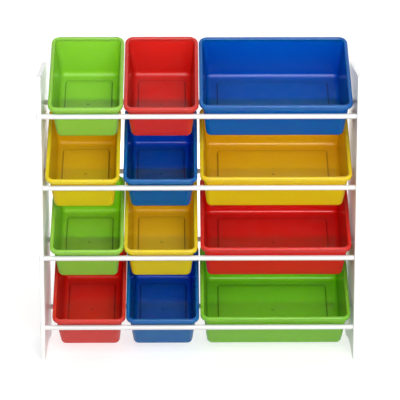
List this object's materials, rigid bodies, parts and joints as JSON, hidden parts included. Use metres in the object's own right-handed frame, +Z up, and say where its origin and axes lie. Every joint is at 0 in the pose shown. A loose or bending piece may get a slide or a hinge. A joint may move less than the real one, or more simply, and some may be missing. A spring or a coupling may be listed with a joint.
{
  "type": "toy storage organizer with bins",
  "caption": "Free-standing children's toy organizer: white side panels joined by steel rods that carry rows of loose, forward-tilted coloured plastic bins, small and wide.",
  "frame": {"origin": "on the floor, in the middle of the whole object from side to side and from front to back", "axes": "+X to the right seen from the front, +Y to the back, +Z up"},
  "size_m": [0.8628, 0.2883, 0.8528],
  "materials": {
    "panel_board": "gloss white lacquer on fibreboard",
    "rod_steel": "gloss white powder coat",
    "insert_plastic": "satin",
    "bolt_steel": "zinc plated",
    "cap_plastic": "satin",
    "bin_green_small": "semi-gloss moulded polypropylene, slightly translucent",
    "bin_red_small": "semi-gloss moulded polypropylene, slightly translucent",
    "bin_blue_large": "semi-gloss moulded polypropylene, slightly translucent",
    "bin_yellow_small": "semi-gloss moulded polypropylene, slightly translucent",
    "bin_blue_small": "semi-gloss moulded polypropylene, slightly translucent",
    "bin_yellow_large": "semi-gloss moulded polypropylene, slightly translucent",
    "bin_red_large": "semi-gloss moulded polypropylene, slightly translucent",
    "bin_green_large": "semi-gloss moulded polypropylene, slightly translucent"
  },
  "bodies": {
    "frame": {"side_panel_left": "panel_board", "side_panel_right": "panel_board", "front_rod_1": "rod_steel", "front_rod_2": "rod_steel", "front_rod_3": "rod_steel", "front_rod_4": "rod_steel", "rear_rod_1": "rod_steel", "rear_rod_2": "rod_steel", "rear_rod_3": "rod_steel", "rear_rod_4": "rod_steel", "rod_end_inserts": "insert_plastic", "rod_bolts": "bolt_steel", "bolt_caps": "cap_plastic"},
    "bin_row1_left_body": {"bin_row1_left": "bin_green_small"},
    "bin_row1_middle_body": {"bin_row1_middle": "bin_red_small"},
    "bin_row1_right_body": {"bin_row1_right": "bin_blue_large"},
    "bin_row2_left_body": {"bin_row2_left": "bin_yellow_small"},
    "bin_row2_middle_body": {"bin_row2_middle": "bin_blue_small"},
    "bin_row2_right_body": {"bin_row2_right": "bin_yellow_large"},
    "bin_row3_left_body": {"bin_row3_left": "bin_green_small"},
    "bin_row3_middle_body": {"bin_row3_middle": "bin_yellow_small"},
    "bin_row3_right_body": {"bin_row3_right": "bin_red_large"},
    "bin_row4_left_body": {"bin_row4_left": "bin_red_small"},
    "bin_row4_middle_body": {"bin_row4_middle": "bin_blue_small"},
    "bin_row4_right_body": {"bin_row4_right": "bin_green_large"}
  },
  "joints": [
    {"name": "lift_out_bin_row1_left", "type": "slide", "parent": "frame", "child": "bin_row1_left_body", "axis": [0, -0.5628, 0.8266], "range_m": [0, 0.3]},
    {"name": "lift_out_bin_row1_middle", "type": "slide", "parent": "frame", "child": "bin_row1_middle_body", "axis": [0, -0.5628, 0.8266], "range_m": [0, 0.3]},
    {"name": "lift_out_bin_row1_right", "type": "slide", "parent": "frame", "child": "bin_row1_right_body", "axis": [0, -0.5344, 0.8453], "range_m": [0, 0.3]},
    {"name": "tip_up_bin_row2_left", "type": "hinge", "parent": "frame", "child": "bin_row2_left_body", "pos_m": [-0.312, 0.06813, 0.4815], "axis": [-1, 0, 0], "range_deg": [0, 27]},
    {"name": "tip_up_bin_row2_middle", "type": "hinge", "parent": "frame", "child": "bin_row2_middle_body", "pos_m": [-0.104, 0.06813, 0.4815], "axis": [-1, 0, 0], "range_deg": [0, 27]},
    {"name": "tip_up_bin_row2_right", "type": "hinge", "parent": "frame", "child": "bin_row2_right_body", "pos_m": [0.2051, 0.06813, 0.4815], "axis": [-1, 0, 0], "range_deg": [0, 27]},
    {"name": "tip_up_bin_row3_left", "type": "hinge", "parent": "frame", "child": "bin_row3_left_body", "pos_m": [-0.3033, 0.06813, 0.2875], "axis": [-1, 0, 0], "range_deg": [0, 27]},
    {"name": "tip_up_bin_row3_middle", "type": "hinge", "parent": "frame", "child": "bin_row3_middle_body", "pos_m": [-0.1033, 0.06813, 0.2875], "axis": [-1, 0, 0], "range_deg": [0, 27]},
    {"name": "tip_up_bin_row3_right", "type": "hinge", "parent": "frame", "child": "bin_row3_right_body", "pos_m": [0.2066, 0.06813, 0.2875], "axis": [-1, 0, 0], "range_deg": [0, 27]},
    {"name": "tip_up_bin_row4_left", "type": "hinge", "parent": "frame", "child": "bin_row4_left_body", "pos_m": [-0.2995, 0.06813, 0.0935], "axis": [-1, 0, 0], "range_deg": [0, 27]},
    {"name": "tip_up_bin_row4_middle", "type": "hinge", "parent": "frame", "child": "bin_row4_middle_body", "pos_m": [-0.0996, 0.06813, 0.0935], "axis": [-1, 0, 0], "range_deg": [0, 27]},
    {"name": "tip_up_bin_row4_right", "type": "hinge", "parent": "frame", "child": "bin_row4_right_body", "pos_m": [0.2066, 0.06813, 0.0935], "axis": [-1, 0, 0], "range_deg": [0, 27]}
  ]
}
